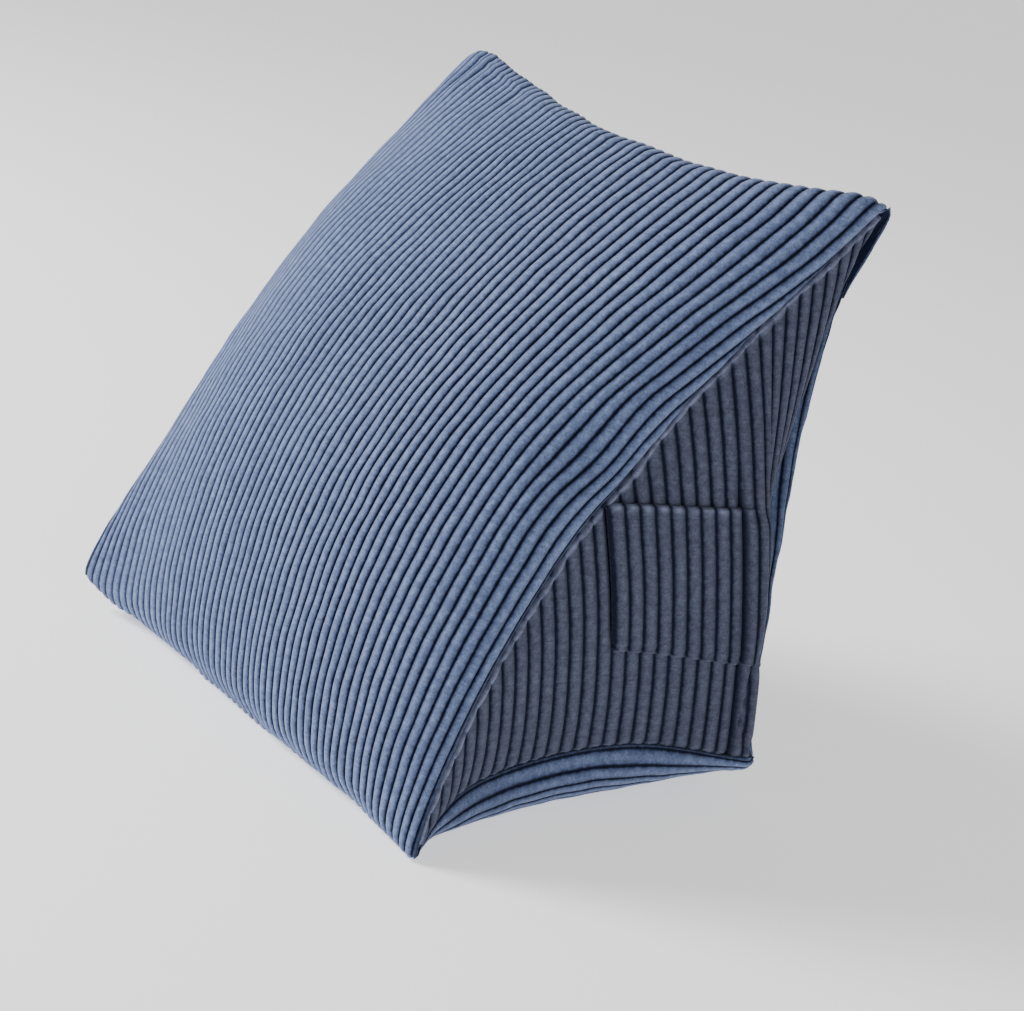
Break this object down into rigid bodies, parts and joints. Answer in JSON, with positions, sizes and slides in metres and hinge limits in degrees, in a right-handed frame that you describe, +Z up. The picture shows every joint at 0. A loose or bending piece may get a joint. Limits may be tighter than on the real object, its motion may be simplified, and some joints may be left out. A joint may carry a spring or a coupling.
{
  "type": "triangular backrest cushion",
  "caption": "Stuffed wedge cushion in wide-wale corduroy with a crowned sloping face, an upright back and a patch pocket on one side.",
  "frame": {"origin": "middle of the bounding box at the surface that the base rests on", "axes": "+X across the width towards the side with the pocket, +Y towards the upright back, +Z up"},
  "size_m": [0.3631, 0.2611, 0.3726],
  "materials": {
    "wrap_cloth": "wide-wale corduroy, velvety slate blue nap with dark grooves",
    "side_cloth": "wide-wale corduroy, wales upright",
    "pocket_cloth": "wide-wale corduroy with a stitched hem"
  },
  "bodies": {
    "root": {"cushion_body": "wrap_cloth", "side_panel_right": "side_cloth", "side_panel_left": "side_cloth", "side_pocket": "pocket_cloth"}
  },
  "joints": []
}
